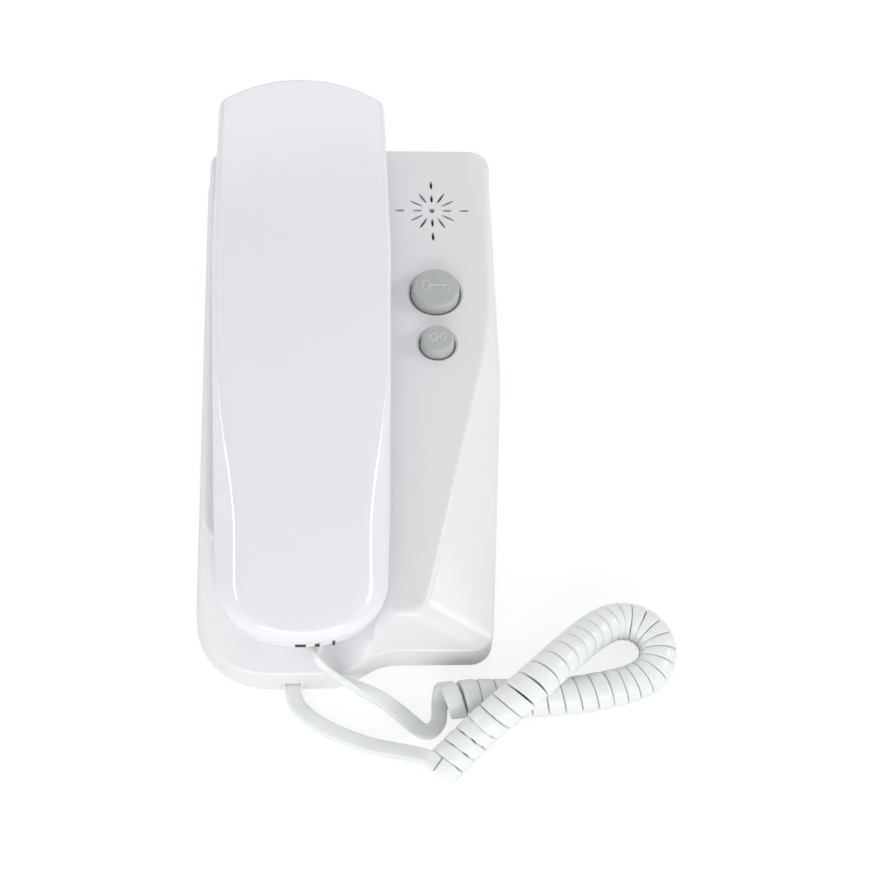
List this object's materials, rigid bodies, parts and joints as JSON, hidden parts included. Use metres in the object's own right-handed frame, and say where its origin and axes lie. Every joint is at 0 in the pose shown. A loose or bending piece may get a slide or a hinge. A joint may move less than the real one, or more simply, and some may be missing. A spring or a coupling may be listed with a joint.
{
  "type": "audio intercom handset",
  "caption": "Wall audio intercom: base with two push buttons and a star grille, a handset in its cradle and a curly cord.",
  "frame": {"origin": "on the wall face of the back plate, in the middle of the base's width", "axes": "+X to the right as seen from the front, +Y up the wall towards the earpiece, +Z out of the wall towards the handset's front"},
  "size_m": [0.1448, 0.2362, 0.048],
  "materials": {
    "shell_plastic": "gloss",
    "handset_plastic": "gloss",
    "inner_plastic": "matte",
    "button_plastic": "satin",
    "cord_plastic": "satin",
    "dark_plastic": "matte",
    "clear_plastic": "clear",
    "board_laminate": "satin",
    "terminal_plastic": "matte",
    "steel": "brushed",
    "can_aluminium": "satin",
    "paper": "matte",
    "foam": "matte"
  },
  "bodies": {
    "base": {"front_shell": "shell_plastic", "back_plate": "inner_plastic", "main_board": "board_laminate", "board_screws": "steel", "door_relay": "dark_plastic", "audio_chip": "dark_plastic", "capacitors": "can_aluminium", "tact_switches": "dark_plastic", "door_button_spring": "steel", "bell_button_spring": "steel", "ringer_frame": "steel", "ringer_cone": "paper", "ringer_magnet": "steel", "hook_spring": "steel", "hook_switch": "dark_plastic", "terminal_block": "terminal_plastic", "terminal_screws": "steel", "base_jack": "dark_plastic", "base_plug": "clear_plastic", "cord_coil": "cord_plastic", "cord_handset_lead": "cord_plastic", "cord_base_lead": "cord_plastic"},
    "handset": {"handset_front_shell": "handset_plastic", "handset_rear_shell": "handset_plastic", "handset_screws": "steel", "earpiece_capsule": "can_aluminium", "earpiece_pad": "foam", "microphone_capsule": "can_aluminium", "microphone_boot": "foam", "ballast_weight": "steel", "handset_jack": "dark_plastic", "handset_plug": "clear_plastic"},
    "door_button": {"door_button": "button_plastic"},
    "bell_button": {"bell_button": "button_plastic"},
    "hook_plunger": {"hook_plunger": "inner_plastic"}
  },
  "joints": [
    {"name": "handset_lift", "type": "slide", "parent": "base", "child": "handset", "axis": [0, 0, 1], "range_m": [0, 0.04], "deforming": ["cord_handset_lead"]},
    {"name": "door_press", "type": "slide", "parent": "base", "child": "door_button", "axis": [0, 0, -1], "range_m": [0, 0.0015], "stiffness_N_per_m": 250, "deforming": ["door_button_spring"]},
    {"name": "bell_press", "type": "slide", "parent": "base", "child": "bell_button", "axis": [0, 0, -1], "range_m": [0, 0.0015], "stiffness_N_per_m": 250, "deforming": ["bell_button_spring"]},
    {"name": "hook_rise", "type": "slide", "parent": "base", "child": "hook_plunger", "axis": [0, 0, 1], "range_m": [0, 0.004], "deforming": ["hook_spring"]}
  ],
  "couplings": [
    {"joint": "hook_rise", "follows": "handset_lift", "ratio": 0.1}
  ]
}
